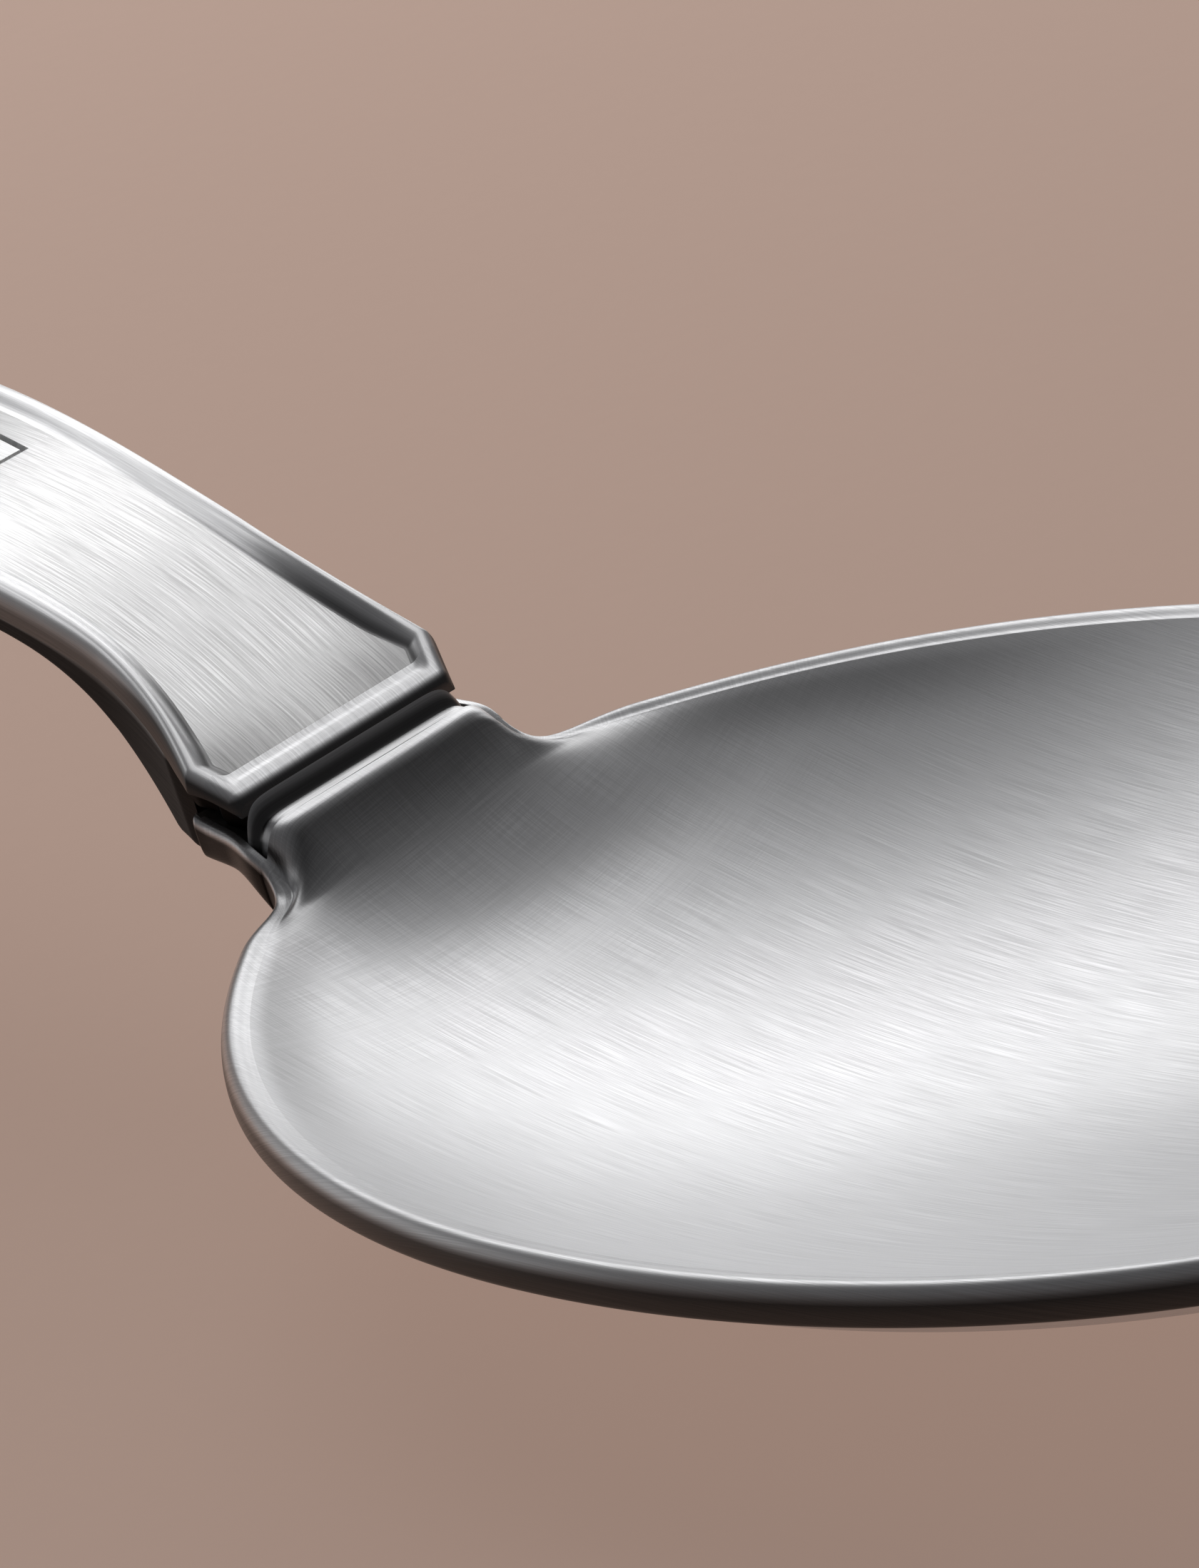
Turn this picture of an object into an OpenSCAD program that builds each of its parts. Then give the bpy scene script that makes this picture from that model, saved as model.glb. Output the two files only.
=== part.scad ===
// Christening spoon: an oval bowl, its tongue lapped under an arched handle with a sunken panel and borders.
// Millimetres, +Z up, +X toward the bowl's tip. It lies on the flat under its bowl and on its handle's end.

/* [Bowl] */
// Length of the hollow, from the neck to the tip
bowl_length = 48; // [42:1:56]
// Width of the hollow where it is widest
bowl_width = 32; // [27:1:38]
// Depth of the hollow below the rim
bowl_depth = 5.2; // [4.6:0.1:7.5]
// Wall at the bottom of the bowl
bowl_wall = 1.2; // [1:0.1:1.8]
// Width of the lip round the rim
lip_width = 0.9; // [0.6:0.1:1.3]
// Height of the lip's outer face
lip_height = 1.05; // [0.85:0.05:1.4]

/* [Neck] */
// Width of the neck where the bowl ends
neck_width = 8.2; // [7.4:0.1:9]
// Height of the bowl bead above the rim
bead_rise = 1.7; // [1.4:0.1:2.2]
// Length over which the bead's ramp runs out into the bowl
ramp_length = 14; // [9:0.5:18]
// Length of the lap of the handle over the bowl's tongue
lap_length = 3.2; // [2.6:0.1:3.8]
// Thickness of the tongue at its end
tongue_thickness = 1.5; // [1.2:0.05:1.8]
// Thickness of the solder in the lap
solder_thickness = 0.1; // [0.06:0.01:0.16]

/* [Handle] */
// Length of the handle from the bowl bead to its end
handle_length = 107; // [96:1:120]
// Width across the shoulders at the neck
shoulder_width = 9; // [8.2:0.1:9.8]
// Width at the waist
waist_width = 7; // [6.2:0.1:7.8]
// Width at the far end
end_width = 16.6; // [13:0.2:20]
// Height of the arch's crown above the bowl bead
crown_height = 8.6; // [7.6:0.1:10]
// Thickness of the handle past its waist
handle_thickness = 1.75; // [1.5:0.05:2.2]
// Radius of the corners at the far end
end_corner = 3; // [1.5:0.25:5]

/* [Borders] */
// Width of the raised borders
border_width = 1; // [0.8:0.05:1.2]
// Height of the border wire
border_height = 0.9; // [0.75:0.05:1.1]
// Depth of the panel below the borders
panel_recess = 0.4; // [0.25:0.05:0.5]

/* [Name plate] */
// Distance of the plate from the bowl bead
plate_start = 14.2; // [12.5:0.1:18]
// Distance of the plate from the far end
plate_end_margin = 6; // [5.5:0.25:12]
// Bare strip between the borders and the plate
plate_margin = 0.9; // [0.7:0.05:1.1]
// Thickness of the plate
plate_thickness = 0.3; // [0.2:0.05:0.4]
// Width of the fine line round the plate
plate_line = 0.16; // [0.1:0.02:0.24]

/* [Hidden] */
// How much of the lowest wall is taken off to give the bowl its rest flat
rest_cut = 0.2;
// Smallest step, where a wall is upright
step = 0.02;

// Bowl in plan, measured from the bowl bead
joint_x = 0.2;
oval_start = 0.75;
oval_end = oval_start + bowl_length;
widest_share = 0.488;
oval_middle = oval_start + widest_share * bowl_length;
neck_half = neck_width / 2;
flare_softness = 1.67;
neck_oval_power = 1.075;
lip_runout = 4;
tip_fan = 0.55;

// Bowl in height, measured from the bowl bead
rim_z = -bead_rise;
bead_z = bowl_depth + bowl_wall + bead_rise - rest_cut;
hollow_power = 2;
ramp_edge_power = 6;
ramp_power = 3;
ramp_drop = 0.05;
lip_bottom_share = 0.6;
lip_belly = 0.06;
// Round of the lip: shares of its width, and heights as shares of the lip, from the hollow to the outer wall
lip_round = [[0.5, 0.04], [0.95, -0.1], [1, -0.5], [0.9, -0.85]];

// Numbers of steps in the bowl's mesh
hollow_steps = 11;
rim_step_deg = 3.75;

// Lap joint
blade_start = 0.7;
lap_end = blade_start + lap_length;
lap_slope = 0.62;
tongue_steps = 9;
tongue_grading = 1.6;
// Heights down the tongue's side, one for each point of the lip's round
tongue_side = [0.06, 0.3, 0.6, 0.85];

// Arch of the handle, at distances from the bowl bead
shoulder_at = 1.8;
shoulder_z = 1.64;
shoulder_slope = 0.98;
corner_slope = 0.55;
rise_at = 9.4;
rise_share = 0.702;
rise_z = rise_share * crown_height;
rise_slope = 0.37;
crown_at = 26;
touch_length = 4;
touch_at = handle_length - touch_length;
end_z = handle_thickness - bead_z;

// Outline of the handle
waist_at = 6.8;
shoulder_taper = -0.45;
swell_at = 18;
swell_half = waist_width / 2 + 0.85;
swell_slope = 0.105;
end_stretch = 17;
widest_at = handle_length - end_stretch;
thin_at = 10;
// How fast the handle thins behind the lap, per millimetre
heel_taper = -1.2;
under_edge = 0.35;
// How much higher the edges of the handle's underside are than its middle, past the lap
under_crown = 0.2;

// Small rounds and insets of the mouldings
border_crown = 0.32;
bead_round = 0.2;
bead_inset = 0.2;
cove_bend = 0.1;
// Crown of the side wires: shares of the width from the inside out, and drops as shares of the border's crown
wire_crown = [[0, 1.2], [0.3, 0.5], [0.6, 0], [0.85, 0.5], [1, 1.8]];
solder_inset = 0.2;

// Stretches along the handle
neck_border_width = 0.6;
neck_border_end = blade_start + neck_border_width;
end_border_start = handle_length - border_width;
plate_end = handle_length - plate_end_margin;
neck_steps = 26;
neck_grading = 1.3;
plate_steps = 40;
end_steps = 12;
corner_steps = 4;
wire_steps = 8;
solder_steps = 6;

// Moves the neck's own measures to the middle of the whole spoon
tip_x = oval_end + lip_width + lip_belly;
shift_x = (handle_length - tip_x) / 2;

bowl_steel = [0.74, 0.74, 0.75];
handle_steel = [0.80, 0.80, 0.80];
border_steel = [0.86, 0.86, 0.87];
solder_grey = [0.62, 0.62, 0.60];

bowl();
bowl_bead();
lap_solder();
handle_blade();
neck_border();
left_border();
right_border();
end_border();
name_plate();

// General helpers
function mix(a, b, t) = a + (b - a) * t;
function clamp01(t) = max(0, min(1, t));
function smooth(t) = let (c = clamp01(t)) c * c * (3 - 2 * c);
function soft_max(a, b, k) = k * ln(exp(a / k) + exp(b / k));

// Cubic from value a with slope ma at sa to value b with slope mb at sb
function curve(s, sa, a, ma, sb, b, mb) =
    let (h = sb - sa, t = (s - sa) / h)
    a * (2 * t * t * t - 3 * t * t + 1) + ma * h * (t * t * t - 2 * t * t + t)
    + b * (3 * t * t - 2 * t * t * t) + mb * h * (t * t * t - t * t);

// A half section is a list of [y, z] from the middle of the bottom, round the +Y side, to the middle of the top
function mirror_half(half) =
    concat(half, [for (k = [len(half) - 2 : -1 : 1]) [-half[k][0], half[k][1]]]);
function section_at(x, section) = [for (p = section) [x, p[0], p[1]]];

// Skins a list of closed rings, all with the same number of points, and caps both ends with fans from point 0
module loft(rings) {
    count = len(rings[0]);
    last = (len(rings) - 1) * count;
    points = [for (ring = rings) each ring];
    sides = [for (i = [0 : count : last - count], k = [0 : count - 1], upper = [0, 1])
        let (a = i + k, b = i + (k + 1) % count)
        upper == 0 ? [a, b, b + count] : [a, b + count, a + count]];
    start_cap = [for (k = [1 : count - 2]) [k + 1, k, 0]];
    end_cap = [for (k = [1 : count - 2]) [last, last + k, last + k + 1]];
    polyhedron(points, concat(sides, start_cap, end_cap), convexity = 8);
}

module in_place() {
    translate([shift_x, 0, bead_z]) children();
}

// Rim of the bowl: t below 0 is the straight neck, 0 to 180 degrees is one side of the oval
function rim_x(t) =
    t <= 0 ? mix(joint_x, oval_start, 1 + t)
    : oval_middle - (t < 90 ? oval_middle - oval_start : oval_end - oval_middle) * cos(t);
function oval_half(t) = bowl_width / 2 * (t <= 0 ? 0 : t < 90 ? pow(sin(t), neck_oval_power) : sin(t));
function rim_half(t) = t < 90 ? soft_max(oval_half(t), neck_half, flare_softness) : oval_half(t);
function rim_out(t) =
    let (d = 0.5, dx = rim_x(t + d) - rim_x(t - d), dw = rim_half(t + d) - rim_half(t - d))
    t <= 0 ? [0, 1] : [-dw, dx] / norm([dw, dx]);
function lip_at(t) = lip_width * smooth((rim_x(t) - joint_x) / lip_runout);

// Point of the bowl's middle line from which row t runs out to the rim
function row_root(t) = t < 90 ? rim_x(t) : oval_middle + tip_fan * (rim_x(t) - oval_middle);

// Share of the way from the bowl's middle (0) to its rim (1), at a share r of row t
function bowl_share(t, r) =
    let (x = mix(row_root(t), rim_x(t), r), y = r * oval_half(t))
    let (e = (x - oval_middle) / (t < 90 ? oval_middle - oval_start : oval_end - oval_middle))
    t < 90 ? sqrt(min(1, e * e + r * r * (1 - min(1, e * e)))) : sqrt(e * e + pow(2 * y / bowl_width, 2));
function hollow_z(share) = rim_z - bowl_depth * (1 - pow(share, hollow_power));
function ramp_z(t) = (bead_rise - ramp_drop) * pow(clamp01(1 - rim_x(t) / ramp_length), ramp_power);
function bowl_top(t, r) = hollow_z(bowl_share(t, r)) + ramp_z(t) * (1 - pow(r, ramp_edge_power));
function bowl_bottom(t, r) =
    let (share = bowl_share(t, r))
    max(-bead_z, hollow_z(share) - mix(bowl_wall, lip_height, share * share));

// Half a row of the bowl: the hollow from its middle line out, over the lip, and back below
function hollow_share(j) = sin(90 * j / hollow_steps);
function bowl_half_row(t) =
    let (root = [row_root(t), 0], rim = [rim_x(t), rim_half(t)], out = rim_out(t), lip = lip_at(t))
    let (under = rim + out * lip * lip_bottom_share)
    concat(
        [for (j = [0 : hollow_steps])
            let (r = hollow_share(j), p = mix(root, rim, r)) [p[0], p[1], bowl_top(t, r)]],
        [for (edge = lip_round)
            let (p = rim + out * (lip * edge[0] + lip_belly * (1 - pow(edge[0] - 1, 2))))
            [p[0], p[1], rim_z + edge[1] * (edge[1] > 0 ? lip : lip_height)]],
        [for (j = [hollow_steps : -1 : 0])
            let (r = hollow_share(j), p = mix(root, under, r)) [p[0], p[1], bowl_bottom(t, r)]]);

// Tongue of the bowl, at a distance s behind the bowl bead; its heel ends flush with the handle
function tongue_top(s) = rim_z + lap_slope * s;
function tongue_half(s) = min(neck_half, blade_half(max(s, shoulder_at)));
function tongue_depth(s) = mix(lip_height, tongue_thickness, clamp01(s / lap_end));
function tongue_half_row(s) =
    let (x = -s, w = tongue_half(s), z = tongue_top(s), d = tongue_depth(s))
    concat(
        [for (j = [0 : hollow_steps]) [x, hollow_share(j) * (w - lip_belly), z]],
        [for (edge = tongue_side) [x, w, z - edge * d]],
        [for (j = [hollow_steps : -1 : 0]) [x, hollow_share(j) * (w - 2 * lip_belly), z - d]]);

function full_row(half) =
    concat(half, [for (k = [len(half) - 2 : -1 : 1]) [half[k][0], -half[k][1], half[k][2]]]);

module bowl() {
    tongue_places = [for (i = [0 : tongue_steps])
        mix(lap_end - step, step - joint_x, pow(i / tongue_steps, tongue_grading))];
    rim_places = concat([-1, -0.5, 0], [for (t = [rim_step_deg : rim_step_deg : 180 - rim_step_deg]) t]);
    halves = concat([for (s = tongue_places) tongue_half_row(s)], [for (t = rim_places) bowl_half_row(t)]);
    tip = bowl_half_row(180);
    rows = [for (half = halves) full_row(half)];
    side = len(tip);
    count = len(rows[0]);
    last = len(rows);
    // The two sides of the bowl share the points of the last row, which runs along the middle line to the tip
    points = concat([for (row = rows) each row], tip);
    function corner(i, k) = let (c = k % count) i * count + (i == last && c >= side ? count - c : c);
    sides = [for (i = [0 : last - 1], k = [0 : count - 1], upper = [0, 1])
        upper == 0 ? [corner(i, k), corner(i, k + 1), corner(i + 1, k + 1)]
                   : [corner(i, k), corner(i + 1, k + 1), corner(i + 1, k)]];
    // The heel closes the end of the tongue with upright strips between its top and bottom, one side at a time
    heel_side = concat(
        [for (j = [0 : hollow_steps - 1], f = [[side - 1 - j, side - 2 - j, j + 1], [side - 1 - j, j + 1, j]])
            f],
        [for (k = [hollow_steps + 1 : side - hollow_steps - 2]) [hollow_steps, k + 1, k]]);
    heel_other = [for (f = heel_side) [for (k = [2 : -1 : 0]) (count - f[k]) % count]];
    color(bowl_steel) in_place() polyhedron(points, concat(heel_side, heel_other, sides), convexity = 8);
}

// Handle, at a distance s from the bowl bead toward its end
function crest(s) =
    s < shoulder_at ? shoulder_z - shoulder_slope * (shoulder_at - s)
    : s < rise_at ? curve(s, shoulder_at, shoulder_z, shoulder_slope, rise_at, rise_z, rise_slope)
    : s < crown_at ? curve(s, rise_at, rise_z, rise_slope, crown_at, crown_height, 0)
    : s < touch_at ? curve(s, crown_at, crown_height, 0, touch_at, end_z, 0)
    : end_z;
function blade_half(s) =
    s < shoulder_at ? shoulder_width / 2 - corner_slope * (shoulder_at - s)
    : s < waist_at ? curve(s, shoulder_at, shoulder_width / 2, shoulder_taper, waist_at, waist_width / 2, 0)
    : s < swell_at ? curve(s, waist_at, waist_width / 2, 0, swell_at, swell_half, swell_slope)
    : s < widest_at ? curve(s, swell_at, swell_half, swell_slope, widest_at, end_width / 2, 0)
    : end_width / 2 - end_corner + sqrt(pow(end_corner, 2) - pow(max(0, s - handle_length + end_corner), 2));
function lap_z(s) = tongue_top(s) + solder_thickness;
heel_blade = crest(lap_end) - tongue_top(lap_end) + tongue_thickness;
function blade_under(s) =
    s <= lap_end ? lap_z(s)
    : crest(s) - curve(min(s, thin_at), lap_end, heel_blade, heel_taper, thin_at, handle_thickness, 0);
function under_rise(s) = under_crown * smooth((s - lap_end) / (thin_at - lap_end));
function panel_z(s) = crest(s) - panel_recess;
function rebate_z(s) = crest(s) - border_height;
function panel_half(s) = blade_half(s) - border_width;
function pocket_half(s) = panel_half(s) - plate_margin;

// Section of the blade: middle_z is the level in the middle strip, strip_z that of the strip up to the borders
function blade_section(s, middle_z, strip_z) =
    let (w = blade_half(s), low = blade_under(s), edge = low + under_rise(s))
    section_at(-s, mirror_half([
        [0, low],
        [w - under_edge, edge],
        [w, edge + under_edge],
        [w, rebate_z(s)],
        [panel_half(s) + step, rebate_z(s)],
        [panel_half(s), strip_z],
        [pocket_half(s) + step, strip_z],
        [pocket_half(s), middle_z],
        [0, middle_z]]));
function border_row(s) = blade_section(s, rebate_z(s), rebate_z(s));
function panel_row(s) = blade_section(s, panel_z(s), panel_z(s));
function pocket_row(s) = blade_section(s, panel_z(s) - plate_thickness, panel_z(s));

// Places along the three stretches of the panel: closer together near the neck and at the end's corners
neck_places = [for (i = [0 : neck_steps])
    mix(neck_border_end + step, plate_start, pow(i / neck_steps, neck_grading))];
plate_places = [for (i = [0 : plate_steps]) mix(plate_start + step, plate_end - step, i / plate_steps)];
end_places = [for (i = [0 : end_steps]) mix(plate_end, end_border_start - step, i / end_steps)];
corner_places = [for (i = [0 : corner_steps]) handle_length - border_width * pow(1 - i / corner_steps, 2)];

module handle_blade() {
    heel_places = [lap_end, lap_end + step];
    rings = concat(
        [border_row(blade_start), border_row(neck_border_end)],
        [for (s = neck_places) if (s < lap_end) panel_row(s)],
        [for (s = heel_places) panel_row(s)],
        [for (s = neck_places) if (s > lap_end + step) panel_row(s)],
        [for (s = plate_places) pocket_row(s)],
        [for (s = end_places) panel_row(s)],
        [for (s = corner_places) border_row(s)]);
    color(handle_steel) in_place() loft(rings);
}

// Solder between the tongue and the blade, kept in from both their edges
module lap_solder() {
    first = blade_start;
    last = lap_end - solder_inset;
    rings = [for (i = [0 : solder_steps])
        let (s = mix(first, last, i / solder_steps), w = min(blade_half(s), tongue_half(s)) - solder_inset)
        section_at(-s, [[w, tongue_top(s)], [w, lap_z(s)], [-w, lap_z(s)], [-w, tongue_top(s)]])];
    color(solder_grey) in_place() loft(rings);
}

// Bead and cove that close the step between the bowl and the end of the blade
module bowl_bead() {
    front = joint_x - step;
    centre = [front - bead_round, -bead_round];
    bead_arc = [for (turn = [0 : 25 : 150]) centre + bead_round * [cos(turn), sin(turn)]];
    cove_from = bead_arc[len(bead_arc) - 1];
    cove_to = [-blade_start, crest(blade_start) - border_crown];
    cove_pull = [cove_bend - blade_start, cove_from[1] - cove_bend];
    cove = [for (i = [1 : wire_steps])
        let (t = i / wire_steps)
        mix(mix(cove_from, cove_pull, t), mix(cove_pull, cove_to, t), t)];
    base = [[-blade_start, tongue_top(blade_start)], [front, tongue_top(-front)]];
    color(border_steel) in_place() rotate([90, 0, 0])
        linear_extrude(2 * (neck_half - bead_inset), center = true) polygon(concat(bead_arc, cove, base));
}

// Cross wire from side to side, rounded over its top, skinned over a list of distances from the bowl bead
module cross_border(places) {
    first = places[0];
    length = places[len(places) - 1] - first;
    rings = [for (s = places)
        let (w = blade_half(s), top = crest(s) - border_crown * pow(2 * (s - first) / length - 1, 2))
        section_at(-s, [[w, rebate_z(s)], [w, top], [-w, top], [-w, rebate_z(s)]])];
    color(border_steel) in_place() loft(rings);
}

module neck_border() {
    cross_border([for (i = [0 : wire_steps]) mix(blade_start, neck_border_end, i / wire_steps)]);
}

module end_border() {
    cross_border(corner_places);
}

// Side wire, from the neck's cross wire to the one at the far end
module side_border() {
    places = concat(neck_places, plate_places, end_places);
    rings = [for (s = places)
        let (inner = panel_half(s) + step, outer = blade_half(s))
        section_at(-s, concat(
            [[outer, rebate_z(s)]],
            [for (k = [len(wire_crown) - 1 : -1 : 0])
                [mix(inner, outer, wire_crown[k][0]), crest(s) - border_crown * wire_crown[k][1]]],
            [[inner, rebate_z(s)]]))];
    in_place() loft(rings);
}

module left_border() {
    color(border_steel) side_border();
}

module right_border() {
    color(border_steel) mirror([0, 1, 0]) side_border();
}

// Bare plate inlaid in the panel, with a fine line left open all round it
module name_plate() {
    inner_places = [for (i = [1 : plate_steps - 1]) plate_places[i]];
    places = concat([plate_places[0] + plate_line], inner_places, [plate_places[plate_steps] - plate_line]);
    rings = [for (s = places)
        let (w = pocket_half(s) - plate_line, low = panel_z(s) - plate_thickness)
        section_at(-s, [[w, low], [w, panel_z(s)], [-w, panel_z(s)], [-w, low]])];
    color(handle_steel) in_place() loft(rings);
}
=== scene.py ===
import math

import bmesh
import bpy
import numpy as np
from mathutils import Matrix, Vector


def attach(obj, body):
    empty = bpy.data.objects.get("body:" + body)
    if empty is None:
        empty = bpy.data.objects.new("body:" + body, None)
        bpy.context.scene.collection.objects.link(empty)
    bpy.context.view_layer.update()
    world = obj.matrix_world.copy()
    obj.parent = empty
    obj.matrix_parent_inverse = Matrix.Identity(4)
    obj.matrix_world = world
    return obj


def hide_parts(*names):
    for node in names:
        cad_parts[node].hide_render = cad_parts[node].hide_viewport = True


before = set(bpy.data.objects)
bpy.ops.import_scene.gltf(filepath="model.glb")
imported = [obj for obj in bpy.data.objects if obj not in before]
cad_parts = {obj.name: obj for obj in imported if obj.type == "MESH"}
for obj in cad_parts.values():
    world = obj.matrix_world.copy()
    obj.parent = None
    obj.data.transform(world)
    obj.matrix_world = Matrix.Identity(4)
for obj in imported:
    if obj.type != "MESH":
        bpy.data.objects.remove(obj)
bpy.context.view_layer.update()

# Lengths are in millimetres unless a comment says metres. A stretch is a pair of places: something grows
# from nothing at the first to full at the second, which may be the lower one.
MM = 0.001
STEP = 0.02  # between two rows that make a sharp step

# Sizes that the solids have as well
BOWL_LENGTH = 48.0
BOWL_WIDTH = 32.0
BOWL_DEPTH = 5.2
BOWL_WALL = 1.2
REST_CUT = 0.2
LIP_WIDTH = 0.9
LIP_HEIGHT = 1.05
LIP_BELLY = 0.06
NECK_WIDTH = 8.2
BEAD_RISE = 1.7
LAP_LENGTH = 3.2
TONGUE_THICKNESS = 1.5
HANDLE_LENGTH = 107.0
SHOULDER_WIDTH = 9.0
WAIST_WIDTH = 7.0
END_WIDTH = 16.6
HANDLE_THICKNESS = 1.75
END_CORNER = 3.0
BORDER_WIDTH = 1.0
PANEL_RECESS = 0.4
PLATE_START = 14.2
PLATE_END_MARGIN = 6.0
PLATE_MARGIN = 0.9
PLATE_THICKNESS = 0.3
PLATE_LINE = 0.16

# Bowl in plan and in height, measured from the bead at the neck, with X toward the tip
JOINT_X = 0.2
OVAL_START = 0.75
OVAL_END = OVAL_START + BOWL_LENGTH
WIDEST_SHARE = 0.488
OVAL_MIDDLE = OVAL_START + WIDEST_SHARE * BOWL_LENGTH
OVAL_REACH = OVAL_MIDDLE - OVAL_START
NECK_HALF = NECK_WIDTH / 2
BEAD_HALF = NECK_HALF + STEP
RIM_Z = -BEAD_RISE
BEAD_Z = BOWL_DEPTH + BOWL_WALL + BEAD_RISE - REST_CUT
FLARE_SOFTNESS = 1.67
NECK_OVAL_POWER = 1.075
HOLLOW_SOFTNESS = 0.03
TIP_FAN = 0.55
LIP_GROWS = (JOINT_X, JOINT_X + 2.8)

# The rim's outline is evened out near the neck: distance either way, stretch in degrees, and samples
EVEN_REACH = 0.9
EVEN_TURNS = (60, 0)
EVEN_SAMPLES = 15
TIP_TURN = 179.9
TURN_STEP = 0.05

# Middle line of the ramp that falls from the bead into the bowl, and the shape of its edges
RAMP_LENGTH = 8.0
RAMP_SLOPE = -0.2
RAMP_Z = -0.04
RAMP_STEEP_AT = 0.8
RAMP_STEEP_Z = -0.31
RAMP_STEEP = -1.1
RAMP_EDGE = 16.0
RAMP_EDGE_SOFT = 3.0
RAMP_ROUND = 1.4
RAMP_SOFTENS = (JOINT_X, JOINT_X + 2.0)
RAMP_SPREADS = (JOINT_X, JOINT_X + 1.8)

# Crest of the ledge at each side of the neck, from under the handle to the lip: X and height
EDGE_PLACES = np.array([-3.3, -2.4, -1.5, -0.5, 0.0, 0.4, 0.7, 1.1, 1.6])
EDGE_HEIGHTS = np.array([0.3, -0.09, -0.26, -0.45, -0.66, -1.0, -1.33, -1.6, -1.7])
EDGE_BLUR = 0.25
EDGE_SAMPLES = 9
EDGE_FLARE = 0.17
EDGE_POWER = 0.6
NECK_LIFT = 0.35
NECK_LIFTS = (JOINT_X + 3, JOINT_X)

# Section of the lip: distances outward and heights above the rim, then its numbers of points
LIP_BELLY_Z = -0.66
LIP_CREST_OUT = 0.45
LIP_CREST_UP = 0.15
LIP_TURN_IN = 0.2
LIP_TURN_DOWN = 0.18
LIP_JOINS = (0.85, 1.0)
LIP_UNDER_POINTS = 8
LIP_OVER_POINTS = 12
LIP_INNER_POINTS = 6
LIP_POINTS = LIP_UNDER_POINTS + LIP_OVER_POINTS + LIP_INNER_POINTS

# Spacing and numbers of the bowl's rows, and of the points in a row
FIRST_ROW = 0.08
CLOSE_ROWS_END = 9.0
CLOSE_SPACING = 0.1
WIDE_SPACING = 0.3
NECK_ROWS = 7
TIP_ROWS = 64
TONGUE_ROWS = 60
TONGUE_GRADING = 1.2
HOLLOW_POINTS = 52
UNDER_POINTS = 30

# Lap joint and tongue, at distances from the bead toward the handle's end
BLADE_START = 0.7
LAP_END = BLADE_START + LAP_LENGTH
LAP_SLOPE = 0.62
LAP_GAP = 0.1
TONGUE_EDGE = 0.24
TONGUE_LAST = 3.3
TONGUE_NARROWS = (0.0, 1.5)
HEEL_FROM = 2.7
HEEL_HIDES = (HEEL_FROM, HEEL_FROM + 0.25)
HEEL_NARROWER = 0.5
HEEL_HIGHER = 0.3
FLANGE_FOOT = 0.62
FLANGE_TOP = 0.32
UNDER_START_SLOPE = 1.35
UNDER_LAST = 2.9
UNDER_LAST_Z = -1.12
UNDER_LAST_SLOPE = 0.28

# Handle in height, at distances from the bead; its crown is 0.01 below the solids', to stay in their box
CROWN_HEIGHT = 8.59
CROWN_AT = 26.0
SHOULDER_AT = 1.8
SHOULDER_Z = 1.64
SHOULDER_SLOPE = 0.98
RISE_AT = 9.4
RISE_Z = 0.702 * CROWN_HEIGHT
RISE_SLOPE = 0.37
TOUCH_AT = HANDLE_LENGTH - 4.0
THIN_AT = 10.0
HEEL_TAPER = -1.2
UNDER_CROWN = 0.2
UNDER_CROWNS = (LAP_END, THIN_AT)

# Handle in plan
CORNER_SLOPE = 0.55
SHOULDER_TAPER = -0.45
WAIST_AT = 6.8
SWELL_AT = 18.0
SWELL_HALF = WAIST_WIDTH / 2 + 0.85
SWELL_SLOPE = 0.105
WIDEST_AT = HANDLE_LENGTH - 17.0
PLATE_END = HANDLE_LENGTH - PLATE_END_MARGIN

# Side of the blade: the notch above the tongue, the round under the side, and numbers of points
NOTCH_DEPTH = 0.8
NOTCH_OPENS = (3.1, 2.1)
ROUND_WIDTH = 0.5
ROUND_HEIGHT = 0.45
ROUND_SHARE = 0.9
BLADE_UNDER_POINTS = 8
BLADE_ROUND_POINTS = 9
BLADE_SIDE_POINTS = 6

# Section of the raised frame: its crest lies inside the outline, and a curved wall falls to the panel
CREST_INSET = 0.42
WIRE_FOOT = 1.04
WALL_FALLS = (0.46, WIRE_FOOT - 0.04)
SIDE_POWER = 2.5
NECK_SIDE_FALL = 0.8
SIDE_FALL = 2.1
SIDE_LEFT = 0.5
SIDE_DEEPENS = (1.6, 4.0)
NECK_WIRE_HEIGHT = 0.42
WIRE_HEIGHT = 0.9
WIRE_GROWS = (1.2, 2.8)
NECK_WIRE_END = 1.45
NECK_CREST = 0.95
NECK_SCALE = 1.25
CORNER_SOFTNESS = 0.2
END_WIRE_START = HANDLE_LENGTH - WIRE_FOOT
WIRE_OUTER_POINTS = 16
WIRE_INNER_POINTS = 18
WIRE_MIDDLE_POINTS = 9

# Depth of the panel below the crest, by the neck wire, a little way up and farther on
NECK_RECESS = PANEL_RECESS - 0.2
DEEP_RECESS = PANEL_RECESS + 0.08
FAR_RECESS = PANEL_RECESS - 0.16
PANEL_DEEPENS = (1.4, 3.0)
PANEL_RISES = (3.0, 9.0)

# Front of the neck wire, cove and bead, from the crest down: distances from the bead, and heights
NECK_PLACES = np.array([0.95, 0.89, 0.82, 0.74, 0.66, 0.58, 0.5, 0.43, 0.37,
                        0.31, 0.25, 0.19, 0.12, 0.03, -0.05, -0.12, -0.18])
NECK_HEIGHTS = np.array([0.81, 0.75, 0.66, 0.53, 0.36, 0.18, 0.03, -0.06, -0.09,
                         -0.07, -0.025, 0, 0.008, 0.006, -0.004, -0.018, -0.036])
NECK_BLUR = 0.03
BEAD_ROWS = 81
BEAD_POINTS = 60
BEAD_TOP_POINT = 20

# Rounded upper edge of the plate: distances in from its side, and drops below its top
PLATE_EDGE_IN = (0.0, 0.02, 0.05)
PLATE_EDGE_DROP = (0.05, 0.015, 0.0)

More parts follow.
